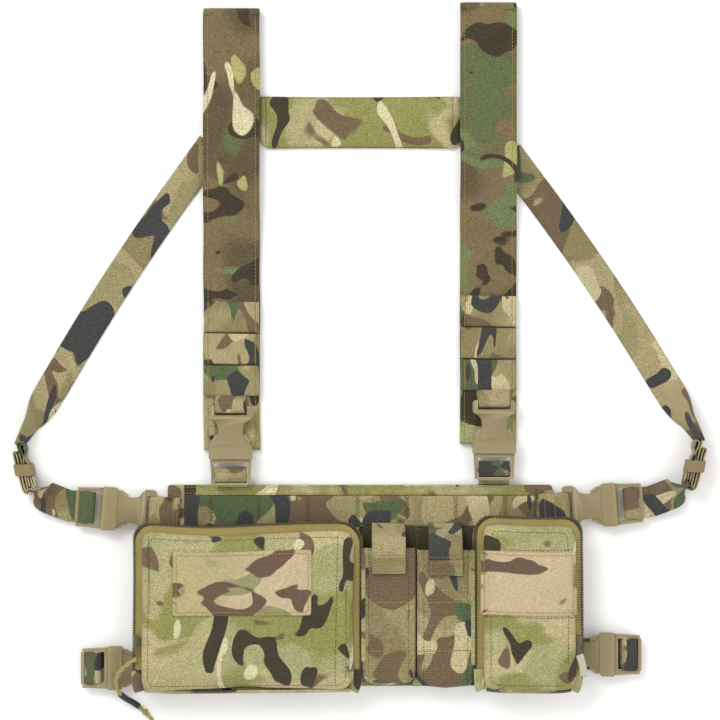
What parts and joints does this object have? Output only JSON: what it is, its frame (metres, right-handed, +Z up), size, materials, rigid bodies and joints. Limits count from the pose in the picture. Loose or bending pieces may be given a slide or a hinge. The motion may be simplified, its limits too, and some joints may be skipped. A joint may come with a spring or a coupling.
{
  "type": "chest rig with shoulder harness",
  "caption": "Flat-laid padded chest rig: zipped pouches and open-top pouches on a chest panel, with quick-release buckles to an H-shaped shoulder harness.",
  "frame": {"origin": "middle of the chest panel's underside, the face that lies on the ground", "axes": "+X to the right seen from the front, +Y towards the head end, +Z up out of the front face"},
  "size_m": [0.564, 0.5768, 0.0415],
  "materials": {
    "camo_fabric": "matt woven nylon with soft-edged camouflage blotches in tan, green and brown",
    "strap_fabric": "matt woven nylon, darker brown and green camouflage, padded and edge stitched",
    "camo_webbing": "woven nylon webbing with fine ribs and printed camouflage",
    "keeper_elastic": "coyote brown elastic band",
    "loop_fabric": "fuzzy tan loop fabric",
    "zip_tape": "tan woven zip tape with a dark coil",
    "zip_metal": "dark bronze painted zip slider",
    "buckle_plastic": "matt moulded coyote acetal",
    "pull_cord": "braided khaki cord with a black sleeve"
  },
  "bodies": {
    "rig": {"chest_panel": "camo_fabric", "panel_hem": "camo_fabric", "molle_row_upper": "camo_webbing", "molle_row_lower": "camo_webbing", "admin_tray": "camo_fabric", "admin_zip_tape": "zip_tape", "utility_tray": "camo_fabric", "utility_zip_tape": "zip_tape", "back_strap": "camo_webbing", "mag_pouch_left": "camo_fabric", "riser_left": "camo_webbing", "side_socket_upper_left": "buckle_plastic", "side_socket_lower_left": "buckle_plastic", "side_tab_upper_left": "camo_webbing", "side_tab_lower_left": "camo_webbing", "side_connector_left": "camo_webbing", "strap_tail_left": "camo_webbing", "tail_keeper_left": "keeper_elastic", "mag_pouch_right": "camo_fabric", "riser_right": "camo_webbing", "side_socket_upper_right": "buckle_plastic", "side_socket_lower_right": "buckle_plastic", "side_tab_upper_right": "camo_webbing", "side_tab_lower_right": "camo_webbing", "side_connector_right": "camo_webbing", "strap_tail_right": "camo_webbing", "tail_keeper_right": "keeper_elastic"},
    "harness": {"back_yoke": "camo_fabric", "shoulder_strap_left": "strap_fabric", "side_strap_left": "camo_webbing", "shoulder_tab_left": "camo_webbing", "shoulder_socket_left": "buckle_plastic", "strap_ladder_left_1": "camo_webbing", "strap_ladder_left_2": "camo_webbing", "strap_ladder_left_3": "camo_webbing", "shoulder_strap_right": "strap_fabric", "side_strap_right": "camo_webbing", "shoulder_tab_right": "camo_webbing", "shoulder_socket_right": "buckle_plastic", "strap_ladder_right_1": "camo_webbing", "strap_ladder_right_2": "camo_webbing", "strap_ladder_right_3": "camo_webbing"},
    "shoulder_plug_left": {"shoulder_plug_left": "buckle_plastic"},
    "shoulder_plug_right": {"shoulder_plug_right": "buckle_plastic"},
    "side_plug_upper_left": {"side_plug_upper_left": "buckle_plastic"},
    "side_plug_upper_right": {"side_plug_upper_right": "buckle_plastic"},
    "side_plug_lower_left": {"side_plug_lower_left": "buckle_plastic"},
    "side_plug_lower_right": {"side_plug_lower_right": "buckle_plastic"},
    "admin_cover": {"admin_lid": "camo_fabric", "admin_patch": "loop_fabric"},
    "utility_cover": {"utility_lid": "camo_fabric", "utility_patch": "loop_fabric"},
    "admin_zip": {"admin_slider": "zip_metal", "admin_pull_cord": "pull_cord"},
    "admin_puller": {"admin_puller": "zip_metal"},
    "utility_zip": {"utility_slider": "zip_metal"},
    "utility_puller": {"utility_puller": "zip_metal"},
    "mag_flap_left": {"mag_flap_left": "camo_webbing"},
    "mag_flap_right": {"mag_flap_right": "camo_webbing"}
  },
  "joints": [
    {"name": "harness_fold", "type": "hinge", "parent": "rig", "child": "harness", "pos_m": [0, 0.0809, 0.01], "axis": [1, 0, 0], "range_deg": [0, 90], "deforming": ["side_strap_left", "side_strap_right", "riser_left", "riser_right"]},
    {"name": "shoulder_release_left", "type": "slide", "parent": "harness", "child": "shoulder_plug_left", "axis": [0, 1, 0], "range_m": [-0.025, 0], "deforming": ["riser_left"]},
    {"name": "shoulder_release_right", "type": "slide", "parent": "harness", "child": "shoulder_plug_right", "axis": [0, 1, 0], "range_m": [-0.025, 0], "deforming": ["riser_right"]},
    {"name": "side_release_upper_left", "type": "slide", "parent": "rig", "child": "side_plug_upper_left", "axis": [-0.9976, 0.0698, 0], "range_m": [0, 0.025], "deforming": ["side_connector_left"]},
    {"name": "side_release_upper_right", "type": "slide", "parent": "rig", "child": "side_plug_upper_right", "axis": [0.9976, 0.0698, 0], "range_m": [0, 0.025], "deforming": ["side_connector_right"]},
    {"name": "side_release_lower_left", "type": "slide", "parent": "rig", "child": "side_plug_lower_left", "axis": [-1, 0, 0], "range_m": [0, 0.025], "deforming": ["back_strap"]},
    {"name": "side_release_lower_right", "type": "slide", "parent": "rig", "child": "side_plug_lower_right", "axis": [1, 0, 0], "range_m": [0, 0.025], "deforming": ["back_strap"]},
    {"name": "admin_cover_open", "type": "hinge", "parent": "rig", "child": "admin_cover", "pos_m": [-0.0897, -0.0832, 0.0283], "axis": [1, 0, 0], "range_deg": [0, 110]},
    {"name": "utility_cover_open", "type": "hinge", "parent": "rig", "child": "utility_cover", "pos_m": [0.1342, -0.0832, 0.0283], "axis": [1, 0, 0], "range_deg": [0, 110]},
    {"name": "admin_zip_travel", "type": "slide", "parent": "rig", "child": "admin_zip", "axis": [0, 1, 0], "range_m": [0, 0.078], "deforming": ["admin_pull_cord"]},
    {"name": "utility_zip_travel", "type": "slide", "parent": "rig", "child": "utility_zip", "axis": [0, 1, 0], "range_m": [0, 0.084]},
    {"name": "admin_puller_lift", "type": "hinge", "parent": "admin_zip", "child": "admin_puller", "pos_m": [-0.1775, -0.045, 0.0342], "axis": [-1, 0, 0], "range_deg": [0, 120], "deforming": ["admin_pull_cord"]},
    {"name": "utility_puller_lift", "type": "hinge", "parent": "utility_zip", "child": "utility_puller", "pos_m": [0.1741, -0.045, 0.0342], "axis": [-1, 0, 0], "range_deg": [0, 120]},
    {"name": "mag_flap_left_open", "type": "hinge", "parent": "rig", "child": "mag_flap_left", "pos_m": [0.0229, 0.05, 0.0088], "axis": [-1, 0, 0], "range_deg": [0, 100]},
    {"name": "mag_flap_right_open", "type": "hinge", "parent": "rig", "child": "mag_flap_right", "pos_m": [0.0682, 0.05, 0.0088], "axis": [-1, 0, 0], "range_deg": [0, 100]}
  ]
}
